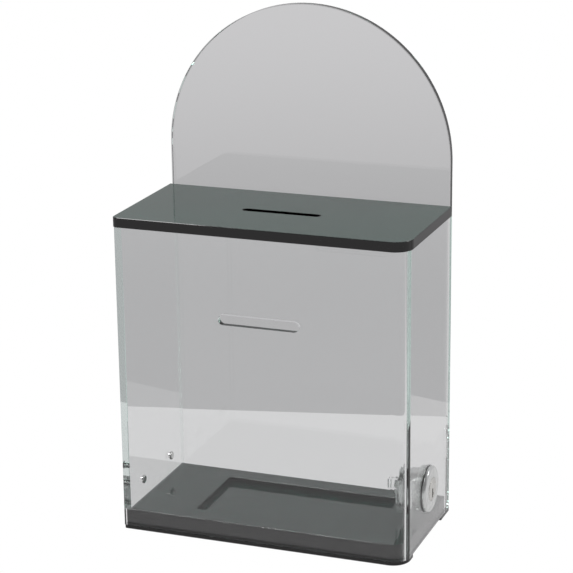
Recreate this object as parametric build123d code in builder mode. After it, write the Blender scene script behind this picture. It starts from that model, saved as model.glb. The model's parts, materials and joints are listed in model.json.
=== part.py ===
import os

from build123d import *

# Frame: X right, Y to the back, Z up; origin under the middle of the box, on the table.
# Sizes in millimetres.

# Box body
body_width = 150.0
body_depth = 75.0
body_top = 159.5
wall = 3.0
back_wall = 4.0
arch_centre = 186.5
arch_radius = body_width / 2
bend_outer = 8.0
edge_break = 0.4

# Black plates
plate_thick = 5.0
plate_overhang = 1.0
plate_edge_break = 0.15
plate_corner_right = 9.0
plate_corner_left = 3.0
base_plate_thick = 2.0
base_corner = 9.0
block_top = 7.0
rim_top = 10.0
base_gap = 0.5
left_wall_bottom = 10.05
shell_bottom = 2.05
notch_front = -24.5
notch_rear = 24.0
notch_depth = 1.5
tray_left = -41.0
tray_right = 52.0
tray_front = -23.0
tray_rear = 23.0

# Slots
top_slot_length = 41.0
top_slot_width = 4.4
top_slot_y = -4.0
front_slot_length = 42.0
front_slot_width = 5.2
front_slot_z = 117.4

# Cam lock, its axis along X in the right wall
lock_y = 1.5
lock_z = 26.5
head_radius = 11.8
head_thick = 1.8
barrel_radius = 10.0
barrel_flat = 8.5
barrel_end = 63.6
plug_radius = 6.0
plug_bore = 6.05
plug_face = 77.0
tail_side = 4.8
cam_thick = 2.0
cam_width = 8.0
cam_reach = 15.5
cam_washer_thick = 0.6
screw_head_half = 4.15
screw_head_thick = 1.7
screw_shank_radius = 1.5
keyway_width = 1.5
keyway_height = 4.8
keyway_deep = 9.0

# Steel pins in the left wall
pin_radius = 1.5
pin_hole_radius = 1.55
pin_head_radius = 2.2
pin_head_thick = 0.9
pin_z = 20.5
pin_rows = {"front": -18.5, "rear": 16.5}

# Keeper for the cam
keeper_left = 62.8
keeper_right = 68.0
keeper_front = -13.9
keeper_rear = -10.9
lip_left = 58.7
lip_bottom = 31.0
lip_top = 36.0

half_width = body_width / 2
front_face = -body_depth / 2
rear_face = body_depth / 2
front_inner = front_face + wall
back_inner = rear_face - back_wall
left_inner = -half_width + wall
right_inner = half_width - wall
barrel_mouth = half_width


def lock_plane(x):
    """Plane across the lock axis at this x; sketch x runs to the back and sketch y up."""
    return Plane(origin=(x, lock_y, lock_z), x_dir=(0, 1, 0), z_dir=(1, 0, 0))


def outline(left, right, front, rear, corner_left, corner_right):
    """Closed outline of a plate whose two front corners are rounded."""
    Polyline(
        (left, front + corner_left),
        (left, rear),
        (right, rear),
        (right, front + corner_right),
    )
    RadiusArc((right, front + corner_right), (right - corner_right, front), corner_right)
    Line((right - corner_right, front), (left + corner_left, front))
    RadiusArc((left + corner_left, front), (left, front + corner_left), corner_left)


# Base plate: thin black sheet under everything, with a thumb notch in its right edge
with BuildPart() as base_plate:
    with BuildSketch():
        with BuildLine():
            outline(-half_width, half_width, front_face, rear_face, 0.8, base_corner)
        make_face()
    extrude(amount=base_plate_thick)
    with BuildSketch():
        with Locations((half_width, (notch_front + notch_rear) / 2)):
            Rectangle(2 * notch_depth, notch_rear - notch_front)
    extrude(amount=base_plate_thick, mode=Mode.SUBTRACT)
    notch_corners = base_plate.edges().filter_by(Axis.Z).filter_by_position(
        Axis.X, half_width - notch_depth - 0.1, half_width - notch_depth + 0.1
    )
    fillet(notch_corners, 1.0)
    chamfer(base_plate.faces().sort_by(Axis.Z)[0].outer_wire().edges(), 0.3)

# Base block: black sheet the front, right and back walls drop over; the left wall stands on it
with BuildPart() as base_block:
    with BuildSketch(Plane.XY.offset(base_plate_thick)):
        with BuildLine():
            outline(
                -half_width,
                right_inner - base_gap,
                front_inner + base_gap,
                back_inner - base_gap,
                0.8,
                6.0,
            )
        make_face()
    extrude(amount=block_top - base_plate_thick)

# Base frame: black sheet with the shallow tray cut out of it
with BuildPart() as base_frame:
    with BuildSketch(Plane.XY.offset(block_top)):
        with BuildLine():
            outline(
                -half_width,
                right_inner - base_gap,
                front_inner + base_gap,
                back_inner - base_gap,
                0.8,
                6.0,
            )
        make_face()
    extrude(amount=rim_top - block_top)
    with BuildSketch(Plane.XY.offset(block_top)):
        with Locations(((tray_left + tray_right) / 2, (tray_front + tray_rear) / 2)):
            RectangleRounded(tray_right - tray_left, tray_rear - tray_front, 1.5)
    extrude(amount=rim_top - block_top, mode=Mode.SUBTRACT)
    chamfer(base_frame.faces().sort_by(Axis.Z)[-1].edges(), 0.1)

# Keeper: a clear upright sheet whose hook reaches over the cam when it is turned to the front
with BuildPart() as keeper_post:
    with BuildSketch(Plane.XY.offset(rim_top)):
        with Locations(((keeper_left + keeper_right) / 2, (keeper_front + keeper_rear) / 2)):
            Rectangle(keeper_right - keeper_left, keeper_rear - keeper_front)
    extrude(amount=lip_bottom - rim_top)

with BuildPart() as keeper_lip:
    with BuildSketch(Plane.XY.offset(lip_bottom)):
        with Locations(((lip_left + keeper_right) / 2, (keeper_front + keeper_rear) / 2)):
            Rectangle(keeper_right - lip_left, keeper_rear - keeper_front)
    extrude(amount=lip_top - lip_bottom)

# Two headed steel pins pressed into the left wall from inside, flush outside
wall_pins = {}
for row, pin_y in pin_rows.items():
    with BuildPart() as pin:
        with BuildSketch(Plane(origin=(-half_width, pin_y, pin_z), x_dir=(0, 1, 0), z_dir=(1, 0, 0))):
            Circle(pin_radius)
        extrude(amount=wall)
        with BuildSketch(Plane(origin=(left_inner, pin_y, pin_z), x_dir=(0, 1, 0), z_dir=(1, 0, 0))):
            Circle(pin_head_radius)
        extrude(amount=pin_head_thick)
        fillet(pin.faces().sort_by(Axis.X)[-1].edges(), 0.6)
    wall_pins[row] = pin

# Front and right walls, bent from one clear sheet
with BuildPart() as wrap_panel:
    with BuildSketch(Plane.XY.offset(shell_bottom)):
        with BuildLine():
            Polyline(
                (half_width, front_face + bend_outer),
                (half_width, back_inner),
                (right_inner, back_inner),
                (right_inner, front_face + bend_outer),
            )
            RadiusArc(
                (right_inner, front_face + bend_outer),
                (half_width - bend_outer, front_inner),
                bend_outer - wall,
            )
            Polyline(
                (half_width - bend_outer, front_inner),
                (-half_width, front_inner),
                (-half_width, front_face),
                (half_width - bend_outer, front_face),
            )
            RadiusArc(
                (half_width - bend_outer, front_face),
                (half_width, front_face + bend_outer),
                -bend_outer,
            )
        make_face()
    extrude(amount=body_top - shell_bottom)
    with BuildSketch(Plane.XZ.offset(-front_inner)):
        with Locations((0, front_slot_z)):
            SlotOverall(front_slot_length, front_slot_width)
    extrude(amount=wall, mode=Mode.SUBTRACT)
    with BuildSketch(lock_plane(right_inner)):
        Circle(barrel_radius + 0.2)
        Rectangle(2 * barrel_flat + 0.4, 4 * barrel_radius, mode=Mode.INTERSECT)
    extrude(amount=wall, mode=Mode.SUBTRACT)
    slot_rim = wrap_panel.faces().filter_by(Axis.Y).sort_by(Axis.Y)[0].inner_wires()[0].edges()
    chamfer(slot_rim, 0.3)

# Left wall with the two pin holes
with BuildPart() as left_panel:
    with BuildSketch(Plane.XY.offset(left_wall_bottom)):
        with Locations((-half_width + wall / 2, (front_inner + back_inner) / 2)):
            Rectangle(wall, back_inner - front_inner)
    extrude(amount=body_top - left_wall_bottom)
    for pin_y in pin_rows.values():
        with BuildSketch(Plane(origin=(-half_width, pin_y, pin_z), x_dir=(0, 1, 0), z_dir=(1, 0, 0))):
            Circle(pin_hole_radius)
        extrude(amount=wall, mode=Mode.SUBTRACT)

# Back wall, rising above the top plate as the arched header
with BuildPart() as back_panel:
    with BuildSketch(Plane.XZ.offset(-rear_face)):
        with BuildLine():
            Polyline(
                (-half_width, arch_centre),
                (-half_width, shell_bottom),
                (half_width, shell_bottom),
                (half_width, arch_centre),
            )
            ThreePointArc(
                (half_width, arch_centre),
                (0, arch_centre + arch_radius),
                (-half_width, arch_centre),
            )
        make_face()
    extrude(amount=back_wall)
    arch_edges = back_panel.edges().filter_by(GeomType.CIRCLE)
    chamfer(arch_edges, edge_break)

# Black top plate with the money slot
with BuildPart() as top_plate:
    with BuildSketch(Plane.XY.offset(body_top)):
        with BuildLine():
            outline(
                -half_width - plate_overhang,
                half_width + plate_overhang,
                front_face - plate_overhang,
                back_inner,
                plate_corner_left,
                plate_corner_right,
            )
        make_face()
    extrude(amount=plate_thick)
    with BuildSketch(Plane.XY.offset(body_top)):
        with Locations((0, top_slot_y)):
            SlotOverall(top_slot_length, top_slot_width)
    extrude(amount=plate_thick, mode=Mode.SUBTRACT)
    upper = top_plate.faces().sort_by(Axis.Z)[-1]
    lower = top_plate.faces().sort_by(Axis.Z)[0]
    chamfer(upper.edges() + lower.outer_wire().edges(), plate_edge_break)

# Lock housing: chromed head outside the wall and a threaded barrel with two flats inside
with BuildPart() as lock_housing:
    with BuildSketch(lock_plane(barrel_end)):
        Circle(barrel_radius)
        Rectangle(2 * barrel_flat, 4 * barrel_radius, mode=Mode.INTERSECT)
    extrude(amount=barrel_mouth - barrel_end)
    with BuildSketch(lock_plane(barrel_mouth)):
        Circle(head_radius)
    extrude(amount=head_thick)
    head_rim = lock_housing.faces().sort_by(Axis.X)[-1].edges()
    fillet(head_rim, 1.4)
    for groove in range(4):
        with BuildSketch(lock_plane(barrel_end + 0.8 + 1.2 * groove)):
            Circle(barrel_radius + 1.0)
            Circle(barrel_radius - 0.4, mode=Mode.SUBTRACT)
        extrude(amount=0.5, mode=Mode.SUBTRACT)
    with BuildSketch(lock_plane(barrel_end)):
        Circle(plug_bore)
    extrude(amount=barrel_mouth + head_thick - barrel_end, mode=Mode.SUBTRACT)

# Washer and round nut that hold the lock in the wall
with BuildPart() as lock_washer:
    with BuildSketch(lock_plane(right_inner - 0.8)):
        Circle(barrel_radius + 2.0)
        Circle(barrel_radius + 0.1, mode=Mode.SUBTRACT)
    extrude(amount=0.8)

with BuildPart() as lock_nut:
    with BuildSketch(lock_plane(right_inner - 0.8 - 2.6)):
        Circle(barrel_radius + 1.5)
        Circle(barrel_radius, mode=Mode.SUBTRACT)
    extrude(amount=2.6)
    with BuildSketch(lock_plane(right_inner - 0.8 - 2.6)):
        with PolarLocations(barrel_radius + 1.5, 4, start_angle=45):
            Rectangle(2.0, 2.4)
    extrude(amount=2.6, mode=Mode.SUBTRACT)

# Lock plug with the keyway in its face and a square tail
with BuildPart() as lock_plug:
    shoulder = barrel_end - 0.3
    with BuildSketch(lock_plane(shoulder)):
        Circle(plug_radius)
    extrude(amount=plug_face - shoulder)
    chamfer(lock_plug.faces().sort_by(Axis.X)[-1].edges(), 0.3)
    with BuildSketch(lock_plane(plug_face - keyway_deep)):
        with Locations((0, -keyway_height / 2 + 0.4)):
            Rectangle(keyway_width, keyway_height)
        with Locations((0.8, -2.6)):
            Rectangle(1.4, 1.2)
    extrude(amount=keyway_deep, mode=Mode.SUBTRACT)
    with BuildSketch(lock_plane(shoulder - 1.0 - cam_thick)):
        Rectangle(tail_side, tail_side)
    extrude(amount=1.0 + cam_thick)
    with BuildSketch(lock_plane(shoulder - 1.0 - cam_thick)):
        Circle(screw_shank_radius)
    extrude(amount=6.0, mode=Mode.SUBTRACT)

# Stop washer on the tail, with the ear that limits the turn
with BuildPart() as stop_washer:
    with BuildSketch(lock_plane(shoulder - 1.0)):
        Circle(7.2)
        with Locations((0, 7.6)):
            Rectangle(5.0, 3.0)
        Rectangle(tail_side, tail_side, mode=Mode.SUBTRACT)
    extrude(amount=1.0)

# Cam, pointing to the back when unlocked
with BuildPart() as cam:
    with BuildSketch(lock_plane(shoulder - 1.0 - cam_thick)):
        with Locations(((cam_reach - cam_width / 2) / 2, 0)):
            SlotOverall(cam_reach + cam_width / 2, cam_width)
        Rectangle(tail_side, tail_side, mode=Mode.SUBTRACT)
    extrude(amount=cam_thick)

# Washer and screw that hold the cam on
cam_back = shoulder - 1.0 - cam_thick
with BuildPart() as cam_washer:
    with BuildSketch(lock_plane(cam_back - cam_washer_thick)):
        Circle(cam_width / 2)
        Circle(screw_shank_radius, mode=Mode.SUBTRACT)
    extrude(amount=cam_washer_thick)

with BuildPart() as cam_screw:
    with BuildSketch(lock_plane(cam_back - cam_washer_thick - screw_head_thick)):
        RegularPolygon(screw_head_half, 6, major_radius=False, rotation=30)
    extrude(amount=screw_head_thick)
    chamfer(cam_screw.faces().sort_by(Axis.X)[0].edges(), 0.3)
    with BuildSketch(lock_plane(cam_back - cam_washer_thick)):
        Circle(screw_shank_radius)
    extrude(amount=5.6)

made = {
    "base_plate": base_plate,
    "base_block": base_block,
    "base_frame": base_frame,
    "keeper_post": keeper_post,
    "keeper_lip": keeper_lip,
    "wall_pin_front": wall_pins["front"],
    "wall_pin_rear": wall_pins["rear"],
    "front_side_panel": wrap_panel,
    "left_panel": left_panel,
    "back_panel": back_panel,
    "top_plate": top_plate,
    "lock_housing": lock_housing,
    "lock_washer": lock_washer,
    "lock_nut": lock_nut,
    "lock_plug": lock_plug,
    "stop_washer": stop_washer,
    "cam": cam,
    "cam_washer": cam_washer,
    "cam_screw": cam_screw,
}

os.makedirs("parts", exist_ok=True)
for name, piece in made.items():
    piece.part.label = name
    export_step(piece.part, f"parts/{name}.step")
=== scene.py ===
import json
import math

import bmesh
import bpy
from mathutils import Matrix, Vector


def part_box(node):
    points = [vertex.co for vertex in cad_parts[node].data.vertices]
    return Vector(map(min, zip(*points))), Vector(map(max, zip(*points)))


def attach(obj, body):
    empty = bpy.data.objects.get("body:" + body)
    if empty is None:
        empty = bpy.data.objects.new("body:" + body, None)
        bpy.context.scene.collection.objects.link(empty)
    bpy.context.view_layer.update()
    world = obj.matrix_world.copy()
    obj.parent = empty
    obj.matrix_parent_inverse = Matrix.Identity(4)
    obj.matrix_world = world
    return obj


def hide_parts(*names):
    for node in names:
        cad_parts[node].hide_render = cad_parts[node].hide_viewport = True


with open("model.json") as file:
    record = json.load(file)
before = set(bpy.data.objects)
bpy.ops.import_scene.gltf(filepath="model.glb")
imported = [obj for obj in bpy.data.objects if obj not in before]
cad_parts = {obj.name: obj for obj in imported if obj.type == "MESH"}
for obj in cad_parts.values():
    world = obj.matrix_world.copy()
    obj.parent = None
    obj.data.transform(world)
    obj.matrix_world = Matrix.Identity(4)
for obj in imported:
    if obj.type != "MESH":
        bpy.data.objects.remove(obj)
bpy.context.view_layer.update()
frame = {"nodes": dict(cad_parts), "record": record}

nodes = frame["nodes"]
record = frame["record"]
scene = bpy.context.scene

# Light paths: clear sheets in front of one another need many bounces
scene.view_settings.view_transform = "Standard"
scene.view_settings.look = "None"
BOUNCES = 96
scene.cycles.max_bounces = BOUNCES
scene.cycles.transmission_bounces = BOUNCES
scene.cycles.glossy_bounces = BOUNCES
scene.cycles.transparent_max_bounces = 32
scene.cycles.sample_clamp_indirect = 6.0
scene.cycles.blur_glossy = 0.2

# Sizes that no box in the frame gives, in metres
MM = 0.001
BEND_OUTER = 8 * MM
BEND_STEPS = 48
ARCH_STEPS = 160
GLUE_GAP = 0.03 * MM
SINK = 0.03 * MM
WELD_DEPTH = 1 * MM
SHEET_EDGE = 0.35 * MM
SLOT_LENGTH = 42 * MM
SLOT_WIDTH = 5.2 * MM
SLOT_RIM = 0.3 * MM
BARREL_HOLE = 10.2 * MM
BARREL_HOLE_FLAT = 8.7 * MM
PIN_HOLE = 1.55 * MM
HOLE_STEPS = 40
CUTTER_OVERRUN = 10 * MM
FLAT_FACE = 60 * MM * MM
SMOOTH_TURN = 12
SMOOTH_FACES = 22
LONG_RUN = 4


# ---------------------------------------------------------------- node helpers


class Nodes:
    """A material's or world's node tree, with short calls for the nodes used here."""

    def __init__(self, owner):
        owner.use_nodes = True
        self.tree = owner.node_tree
        for node in list(self.tree.nodes):
            self.tree.nodes.remove(node)

    def new(self, kind, inputs=None, **settings):
        node = self.tree.nodes.new(kind)
        for key, value in settings.items():
            setattr(node, key, value)
        for key, value in (inputs or {}).items():
            self.feed(node.inputs[key], value)
        return node

    def feed(self, socket, value):
        if isinstance(value, bpy.types.NodeSocket):
            self.tree.links.new(value, socket)
        else:
            socket.default_value = value

    def math(self, operation, a, b=0.0, c=0.0, clamp=False):
        node = self.new("ShaderNodeMath", operation=operation, use_clamp=clamp)
        for socket, value in zip(node.inputs, (a, b, c)):
            self.feed(socket, value)
        return node.outputs[0]

    def span(self, value, low, high, to_low=0.0, to_high=1.0, smooth=True):
        node = self.new("ShaderNodeMapRange")
        node.interpolation_type = "SMOOTHSTEP" if smooth else "LINEAR"
        for socket, number in zip(node.inputs, (value, low, high, to_low, to_high)):
            self.feed(socket, number)
        return node.outputs[0]

    def mix(self, factor, a, b):
        node = self.new("ShaderNodeMix", data_type="RGBA")
        self.feed(node.inputs[0], factor)
        self.feed(node.inputs[6], a)
        self.feed(node.inputs[7], b)
        return node.outputs[2]

    def blend(self, factor, a, b):
        node = self.new("ShaderNodeMixShader")
        for socket, value in zip(node.inputs, (factor, a, b)):
            self.feed(socket, value)
        return node.outputs[0]

    def noise(self, scale, detail=2.0, rough=0.5, stretch=(1, 1, 1), seed=0.0):
        coord = self.new("ShaderNodeTexCoord").outputs["Object"]
        place = self.new("ShaderNodeMapping", {"Vector": coord, "Scale": stretch})
        place.inputs["Location"].default_value = (seed, seed * 1.7, seed * 0.6)
        node = self.new("ShaderNodeTexNoise")
        node.inputs["Scale"].default_value = scale
        node.inputs["Detail"].default_value = detail
        node.inputs["Roughness"].default_value = rough
        self.feed(node.inputs["Vector"], place.outputs[0])
        return node.outputs["Fac"]

    def bump(self, height, distance, strength=1.0):
        node = self.new("ShaderNodeBump")
        node.inputs["Strength"].default_value = strength
        node.inputs["Distance"].default_value = distance
        self.feed(node.inputs["Height"], height)
        return node.outputs[0]


def new_material(name):
    material = bpy.data.materials.new(name)
    return material, Nodes(material)


# ---------------------------------------------------------------- materials


def clear_acrylic():
    """Polished clear cast sheet: faint waviness, fine handling marks and a green tint in depth."""
    material, n = new_material("clear_acrylic_look")
    waves = n.noise(14.0, 1.0)
    marks = n.noise(900.0, 3.0, 0.6, stretch=(1, 1, 0.2), seed=3.0)
    rough = n.span(marks, 0.62, 0.78, 0.0, 0.05)
    shader = n.new(
        "ShaderNodeBsdfPrincipled",
        {
            "Base Color": (0.965, 0.97, 0.972, 1),
            "Roughness": rough,
            "IOR": 1.49,
            "Transmission Weight": 1.0,
            "Normal": n.bump(waves, 0.02 * MM, 0.35),
        },
    )
    depth = n.new("ShaderNodeVolumeAbsorption", {"Color": (0.74, 0.92, 0.86, 1), "Density": 6.0})
    out = n.new("ShaderNodeOutputMaterial")
    n.feed(out.inputs["Surface"], shader.outputs[0])
    n.feed(out.inputs["Volume"], depth.outputs[0])
    return material


def black_acrylic():
    """Glossy black sheet with hairline wipe marks and a little dust. Faces turned upwards carry a painted
    green-grey sheen, which is painted top light and a painted reflection of the surround; the other faces
    stay near black.
    """
    material, n = new_material("black_acrylic_look")
    wipe = n.noise(260.0, 4.0, 0.62, stretch=(0.25, 1.0, 1.0))
    dust = n.noise(1500.0, 2.0, 0.5, seed=5.0)
    cloud = n.noise(22.0, 3.0, 0.55, seed=2.0)
    rough = n.math("ADD", n.span(wipe, 0.45, 0.75, 0.035, 0.1), n.span(cloud, 0.35, 0.7, 0.0, 0.03))
    speck = n.span(dust, 0.70, 0.76, 0.0, 0.25)
    # Painted light: faces whose normal points up get a patchy green-grey painted sheen instead of the
    # near-black colour of the sides.
    facing = n.new("ShaderNodeSeparateXYZ", {"Vector": n.new("ShaderNodeNewGeometry").outputs["Normal"]})
    painted_top_light_mask = n.span(facing.outputs["Z"], 0.75, 0.98)
    painted_top_sheen = n.mix(n.span(cloud, 0.3, 0.7), (0.009, 0.046, 0.032, 1), (0.011, 0.052, 0.038, 1))
    body = n.mix(painted_top_light_mask, (0.0015, 0.0015, 0.0016, 1), painted_top_sheen)
    colour = n.mix(speck, body, (0.16, 0.18, 0.17, 1))
    shader = n.new(
        "ShaderNodeBsdfPrincipled",
        {
            "Base Color": colour,
            "Roughness": rough,
            "IOR": 1.49,
            "Normal": n.bump(n.noise(9.0, 1.0, seed=7.0), 0.05 * MM, 0.25),
        },
    )
    out = n.new("ShaderNodeOutputMaterial")
    n.feed(out.inputs["Surface"], shader.outputs[0])
    return material


def metal(name, colour, rough, spread, grain, stretch, depth, metallic):
    """Plated metal: fine tool marks along one axis, patchy polish and a slightly worn tone.
    Below 1, metallic is a tuned look and not a physical one."""
    material, n = new_material(name)
    lines = n.noise(grain, 3.0, 0.6, stretch=stretch)
    patch = n.noise(380.0, 3.0, 0.6, seed=4.0)
    worn = tuple(c * 0.82 for c in colour)
    shader = n.new(
        "ShaderNodeBsdfPrincipled",
        {
            "Base Color": n.mix(n.span(patch, 0.4, 0.7), (*colour, 1), (*worn, 1)),
            "Metallic": metallic,
            "Roughness": n.span(n.math("ADD", lines, patch), 0.7, 1.3, rough, rough + spread),
            "Normal": n.bump(lines, depth, 0.6),
        },
    )
    out = n.new("ShaderNodeOutputMaterial")
    n.feed(out.inputs["Surface"], shader.outputs[0])
    return material


PLATED_METALS = {
    # slot: colour, roughness, its spread, grain size, grain stretch, grain depth, metallic
    "bright_steel": ((0.62, 0.62, 0.61), 0.12, 0.15, 900, (0.2, 1, 1), 0.01 * MM, 1.0),
    "lock_chrome": ((0.74, 0.76, 0.75), 0.12, 0.12, 700, (1, 1, 1), 0.02 * MM, 0.7),
    "plug_nickel": ((0.66, 0.66, 0.63), 0.16, 0.2, 1200, (1, 1, 0.15), 0.015 * MM, 0.7),
    "zinc_steel": ((0.72, 0.76, 0.74), 0.2, 0.2, 900, (1, 0.2, 1), 0.02 * MM, 0.35),
}
looks = {"clear_acrylic": clear_acrylic(), "black_acrylic": black_acrylic()}
for slot, settings in PLATED_METALS.items():
    looks[slot] = metal(slot + "_look", *settings)
for entry in record["subparts"]:
    shown = nodes[entry["node"]]
    shown.data.materials.clear()
    shown.data.materials.append(looks[entry["material_slot"]])


# ---------------------------------------------------------------- clear sheets


def corner_normals(outline):
    """For each corner of a closed outline, the normals of the edge before and the edge after.
    They are one and the same where the outline runs on smoothly."""
    count = len(outline)
    edges = []
    for i in range(count):
        a, b = Vector(outline[i]), Vector(outline[(i + 1) % count])
        along = (b - a).normalized()
        edges.append((Vector((along.y, -along.x)), (b - a).length))
    pairs = []
    for i in range(count):
        before, long_before = edges[i - 1]
        after, long_after = edges[i]
        if before.angle(after) < math.radians(SMOOTH_TURN):
            if long_before > LONG_RUN * long_after:
                both = before
            elif long_after > LONG_RUN * long_before:
                both = after
            else:
                both = (before + after).normalized()
            pairs.append((both, both))
        else:
            pairs.append((before, after))
    return pairs


def inset(outline, pairs, amount):
    """The outline moved inwards by this much."""
    moved = []
    for point, (before, after) in zip(outline, pairs):
        middle = (before + after).normalized()
        moved.append(Vector(point) - middle * amount / max(0.3, middle.dot(after)))
    return moved


def sheet_mesh(name, outline, thick, place, edge=0.0):
    """A sheet of this counter-clockwise outline, its big faces flat and its curved edges smooth.
    place turns (u, v, w) into a point, w going from 0 to thick; edge is the width of the eased edge."""
    pairs = corner_normals(outline)
    small = inset(outline, pairs, edge) if edge else outline
    rings = [(outline, 0.0), (outline, thick)]
    if edge:
        rings = [(small, 0.0), (outline, edge), (outline, thick - edge), (small, thick)]
    count = len(outline)
    verts = [place(p[0], p[1], w) for ring, w in rings for p in ring]
    turn = place(0, 0, 0)
    axes = [(place(*unit) - turn) for unit in ((1, 0, 0), (0, 1, 0), (0, 0, 1))]

    def facing(flat, w):
        return (axes[0] * flat.x + axes[1] * flat.y + axes[2] * w).normalized()

    faces = [list(reversed(range(count)))]
    normals = [facing(Vector((0, 0)), -1)] * count
    for k in range(len(rings) - 1):
        tilt = 0.0
        if edge and k == 0:
            tilt = -1.0
        if edge and k == 2:
            tilt = 1.0
        for i in range(count):
            j = (i + 1) % count
            faces.append([k * count + i, k * count + j, (k + 1) * count + j, (k + 1) * count + i])
            start, end = pairs[i][1], pairs[j][0]
            normals += [facing(start, tilt), facing(end, tilt), facing(end, tilt), facing(start, tilt)]
    last = (len(rings) - 1) * count
    faces.append([last + i for i in range(count)])
    normals += [facing(Vector((0, 0)), 1)] * count
    mesh = bpy.data.meshes.new(name)
    mesh.from_pydata([tuple(v) for v in verts], [], faces)
    mesh.polygons.foreach_set("use_smooth", [True] * len(faces))
    mesh.normals_split_custom_set([tuple(v) for v in normals])
    return mesh


def arc(centre, radius, start, end, steps):
    """Points of an arc from start to end, in degrees."""
    points = []
    for k in range(steps + 1):
        angle = math.radians(start + (end - start) * k / steps)
        points.append((centre[0] + radius * math.cos(angle), centre[1] + radius * math.sin(angle)))
    return points


def cut(target, tool_mesh, operation="DIFFERENCE"):
    """Cuts the tool's shape out of the target, or joins it on, and drops the tool."""
    tool = bpy.data.objects.new("cutter", tool_mesh)
    scene.collection.objects.link(tool)
    modifier = target.modifiers.new("cut", "BOOLEAN")
    modifier.operation = operation
    modifier.solver = "EXACT"
    modifier.object = tool
    graph = bpy.context.evaluated_depsgraph_get()
    mesh = bpy.data.meshes.new_from_object(target.evaluated_get(graph))
    target.modifiers.clear()
    old = target.data
    target.data = mesh
    bpy.data.meshes.remove(old)
    bpy.data.objects.remove(tool)


def ease_normals(mesh, large=FLAT_FACE, limit=math.radians(SMOOTH_FACES)):
    """Flat faces keep their own normal; the small faces of a curve share smooth ones."""
    around = {}
    for face in mesh.polygons:
        for v in face.vertices:
            around.setdefault(v, []).append(face.index)
    face_normals = [f.normal.copy() for f in mesh.polygons]
    areas = [f.area for f in mesh.polygons]
    normals = []
    for face in mesh.polygons:
        own = face_normals[face.index]
        for loop in face.loop_indices:
            v = mesh.loops[loop].vertex_index
            if areas[face.index] > large:
                normals.append(tuple(own))
                continue
            near = [k for k in around[v] if own.angle(face_normals[k], 9) < limit]
            flat = [k for k in near if areas[k] > large]
            if flat:
                normals.append(tuple(face_normals[flat[0]]))
            else:
                total = Vector()
                for k in near:
                    total += face_normals[k]
                normals.append(tuple(total.normalized()))
    mesh.polygons.foreach_set("use_smooth", [True] * len(mesh.polygons))
    mesh.normals_split_custom_set(normals)


def add_piece(name, mesh, body, slot, stands_for):
    piece = bpy.data.objects.new(name, mesh)
    scene.collection.objects.link(piece)
    mesh.materials.clear()
    mesh.materials.append(looks[slot])
    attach(piece, body)
    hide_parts(*stands_for)
    return piece


def prism_x(x0, x1, outline):
    """A cutter along X whose outline is given in (y, z)."""
    return sheet_mesh("cutter", outline, x1 - x0, lambda u, v, w: Vector((x0 + w, u, v)))


def upright_mesh(name, outline, y0, thick, edge=0.0):
    """A sheet that starts at y0, its outline given in (x, z)."""
    flipped = [(-x, z) for x, z in reversed(outline)]
    return sheet_mesh(name, flipped, thick, lambda u, v, w: Vector((-u, y0 + w, v)), edge)


def prism_y(y0, y1, outline):
    """A cutter along Y whose outline is given in (x, z)."""
    return upright_mesh("cutter", outline, y0, y1 - y0)


def scratch_object(name, mesh):
    """An object to cut into, before it becomes a piece."""
    made = bpy.data.objects.new(name, mesh)
    scene.collection.objects.link(made)
    return made


def finish_sheet(scratch, name, stands_for):
    """Turns a cut scratch object into a clear piece of the cover."""
    ease_normals(scratch.data)
    mesh = scratch.data
    bpy.data.objects.remove(scratch)
    mesh.name = name
    return add_piece(name, mesh, "cover", "clear_acrylic", stands_for)


def slot_outline(length, width, centre_z, steps=24):
    """Round-ended slot in (x, z), counter-clockwise."""
    reach = (length - width) / 2
    right = arc((reach, centre_z), width / 2, -90, 90, steps)
    left = arc((-reach, centre_z), width / 2, 90, 270, steps)
    return right + left


def build_front_side():
    """The front and right walls, bent from one sheet, with the front slot and the lock hole."""
    low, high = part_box("front_side_panel")
    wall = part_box("left_panel")[1].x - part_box("left_panel")[0].x
    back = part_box("back_panel")[0].y - GLUE_GAP
    top = high.z + SINK
    centre = (high.x - BEND_OUTER, low.y + BEND_OUTER)
    outer = arc(centre, BEND_OUTER, -90, 0, BEND_STEPS)
    inner = arc(centre, BEND_OUTER - wall, 0, -90, BEND_STEPS)
    outline = [(low.x, low.y)] + outer + [(high.x, back), (high.x - wall, back)] + inner
    outline += [(low.x, low.y + wall)]
    mesh = sheet_mesh("front_side_sheet", outline, top - low.z, lambda u, v, w: Vector((u, v, low.z + w)))
    piece = scratch_object("front_side_sheet", mesh)
    opening = next(o for o in record["physics"]["openings"] if o["name"] == "front_slot")["box_m"]
    slot_z = (opening[0][2] + opening[1][2]) / 2
    cut(piece, prism_y(low.y - wall, low.y + 2 * wall, slot_outline(SLOT_LENGTH, SLOT_WIDTH, slot_z)))
    plug_low, plug_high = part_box("lock_plug")
    axis_y, axis_z = (plug_low.y + plug_high.y) / 2, (plug_low.z + plug_high.z) / 2
    flat = math.degrees(math.acos(BARREL_HOLE_FLAT / BARREL_HOLE))
    hole = arc((axis_y, axis_z), BARREL_HOLE, flat, 180 - flat, HOLE_STEPS)
    hole += arc((axis_y, axis_z), BARREL_HOLE, 180 + flat, 360 - flat, HOLE_STEPS)
    cut(piece, prism_x(high.x - 2 * wall, high.x + wall, hole))
    finish_sheet(piece, "front_side_sheet", ["front_side_panel"])


def back_mesh():
    """The back wall and its arched header, in one sheet."""
    low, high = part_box("back_panel")
    radius = (high.x - low.x) / 2
    centre = ((low.x + high.x) / 2, high.z - radius)
    outline = [(low.x, low.z), (high.x, low.z)] + arc(centre, radius, 0, 180, ARCH_STEPS)
    return upright_mesh("back_header_sheet", outline, low.y, high.y - low.y, SHEET_EDGE)


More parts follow.
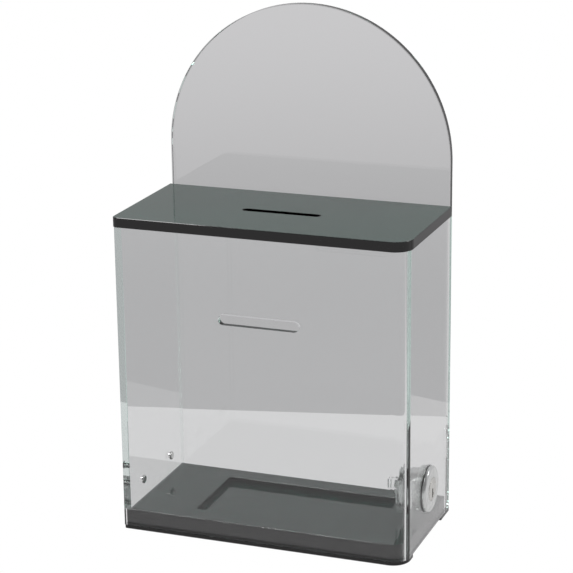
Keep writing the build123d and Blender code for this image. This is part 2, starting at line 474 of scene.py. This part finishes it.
def build_left_back():
    """The left wall and the back sheet as one mesh: a solvent joint has no air in it to mirror light."""
    low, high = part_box("left_panel")
    front, back = low.y + GLUE_GAP, high.y + WELD_DEPTH
    outline = [(low.x, front), (high.x, front), (high.x, back), (low.x, back)]
    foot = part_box("base_frame")[1].z - SINK
    mesh = sheet_mesh("left_sheet", outline, high.z + SINK - foot, lambda u, v, w: Vector((u, v, foot + w)))
    piece = scratch_object("left_sheet", mesh)
    for pin in ("wall_pin_front", "wall_pin_rear"):
        pin_low, pin_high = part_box(pin)
        centre = ((pin_low.y + pin_high.y) / 2, (pin_low.z + pin_high.z) / 2)
        hole = arc(centre, PIN_HOLE, 0, 360, HOLE_STEPS)[:-1]
        cut(piece, prism_x(low.x - CUTTER_OVERRUN, high.x + CUTTER_OVERRUN, hole))
    cut(piece, back_mesh(), "UNION")
    finish_sheet(piece, "left_back_sheet", ["left_panel", "back_panel"])


def build_keeper():
    """The clear upright beside the lock, with the hook over the cam, as one sheet."""
    post_low, post_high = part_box("keeper_post")
    lip_low, lip_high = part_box("keeper_lip")
    foot = post_low.z - SINK
    outline = [
        (post_low.x, foot),
        (post_high.x, foot),
        (lip_high.x, lip_high.z),
        (lip_low.x, lip_high.z),
        (lip_low.x, lip_low.z),
        (post_low.x, lip_low.z),
    ]
    mesh = upright_mesh("keeper_sheet", outline, post_low.y, post_high.y - post_low.y)
    add_piece("keeper_sheet", mesh, "base", "clear_acrylic", ["keeper_post", "keeper_lip"])


build_front_side()
build_left_back()
build_keeper()

# ---------------------------------------------------------------- studio

TABLE_REAR = 165.8 * MM
TABLE_SKEW = 0.241
TABLE_FRONT = -4.0
HALF_TABLE = 1.5
TABLE_TOP = -0.2 * MM
FLOOR_COLOUR = (0.70, 0.69, 0.695, 1)
SURROUND_COLOUR = (1.0, 0.985, 1.0, 1)
SURROUND_LOW, SURROUND_HIGH = 0.44, 0.6
SURROUND_FRONT, SURROUND_BEHIND = 0.35, 1.0
WHITE = (1, 1, 1, 1)


def make_floor():
    """One plain pale table top, the same colour all over. It gives off its own light, so it takes
    no shadow, and the camera sees it as white."""
    material, n = new_material("floor_look")
    pale = n.new("ShaderNodeEmission", {"Color": FLOOR_COLOUR})
    white = n.new("ShaderNodeEmission", {"Color": WHITE})
    path = n.new("ShaderNodeLightPath")
    out = n.new("ShaderNodeOutputMaterial")
    n.feed(out.inputs["Surface"], n.blend(path.outputs["Is Camera Ray"], pale.outputs[0], white.outputs[0]))
    mesh = bpy.data.meshes.new("floor")
    corners = [
        (-HALF_TABLE, TABLE_FRONT, TABLE_TOP),
        (HALF_TABLE, TABLE_FRONT, TABLE_TOP),
        (HALF_TABLE, TABLE_REAR + TABLE_SKEW * HALF_TABLE, TABLE_TOP),
        (-HALF_TABLE, TABLE_REAR - TABLE_SKEW * HALF_TABLE, TABLE_TOP),
    ]
    mesh.from_pydata(corners, [], [(0, 1, 2, 3)])
    mesh.materials.append(material)
    piece = bpy.data.objects.new("floor", mesh)
    scene.collection.objects.link(piece)


make_floor()


def make_world():
    """A soft grey surround, a little darker low down and in front; the camera sees it as white."""
    world = bpy.data.worlds.new("studio")
    scene.world = world
    n = Nodes(world)
    way = n.new("ShaderNodeTexCoord").outputs["Generated"]
    compass = n.new("ShaderNodeSeparateXYZ", {"Vector": way}).outputs
    rise = n.span(compass["Z"], -0.3, -0.15, SURROUND_LOW, SURROUND_HIGH)
    depth = n.span(compass["Y"], -0.5, 0.5, SURROUND_FRONT, SURROUND_BEHIND)
    level = n.math("MULTIPLY", rise, depth)
    soft = n.new("ShaderNodeBackground", {"Color": SURROUND_COLOUR, "Strength": level})
    white = n.new("ShaderNodeBackground", {"Color": WHITE})
    path = n.new("ShaderNodeLightPath")
    out = n.new("ShaderNodeOutputWorld")
    n.feed(out.inputs["Surface"], n.blend(path.outputs["Is Camera Ray"], soft.outputs[0], white.outputs[0]))


make_world()


LAMP_TARGET = Vector((0, 0, 0.1))


def area_light(name, place, size, power):
    light = bpy.data.lights.new(name, "AREA")
    light.shape = "RECTANGLE"
    light.size, light.size_y = size
    light.energy = power
    lamp = bpy.data.objects.new(name, light)
    lamp.location = place
    aim = LAMP_TARGET - Vector(place)
    lamp.rotation_euler = aim.to_track_quat("-Z", "Y").to_euler()
    scene.collection.objects.link(lamp)


area_light("key_light", (-1.1, -1.0, 2.2), (0.7, 0.7), 24)
area_light("rim_light", (1.8, 1.0, 2.0), (0.8, 0.8), 12)

# ---------------------------------------------------------------- camera

eye = Vector((0.35412, -0.92493, 0.42529))
yaw, pitch, roll = math.radians(20.275), math.radians(16.923), math.radians(0.524)
forward = Vector((-math.sin(yaw) * math.cos(pitch), math.cos(yaw) * math.cos(pitch), -math.sin(pitch)))
right = Vector((math.cos(yaw), math.sin(yaw), 0))
down = forward.cross(right)
right, down = (
    math.cos(roll) * right + math.sin(roll) * down,
    -math.sin(roll) * right + math.cos(roll) * down,
)
camera = bpy.data.objects.new("camera", bpy.data.cameras.new("camera"))
turn = Matrix((right, -down, -forward)).transposed().to_4x4()
camera.matrix_world = Matrix.Translation(eye) @ turn
camera.data.sensor_width = 36
camera.data.lens = 130.55
camera.data.shift_x = -0.0388
camera.data.shift_y = 0.0046
camera.data.clip_start = 0.01
scene.collection.objects.link(camera)
scene.camera = camera
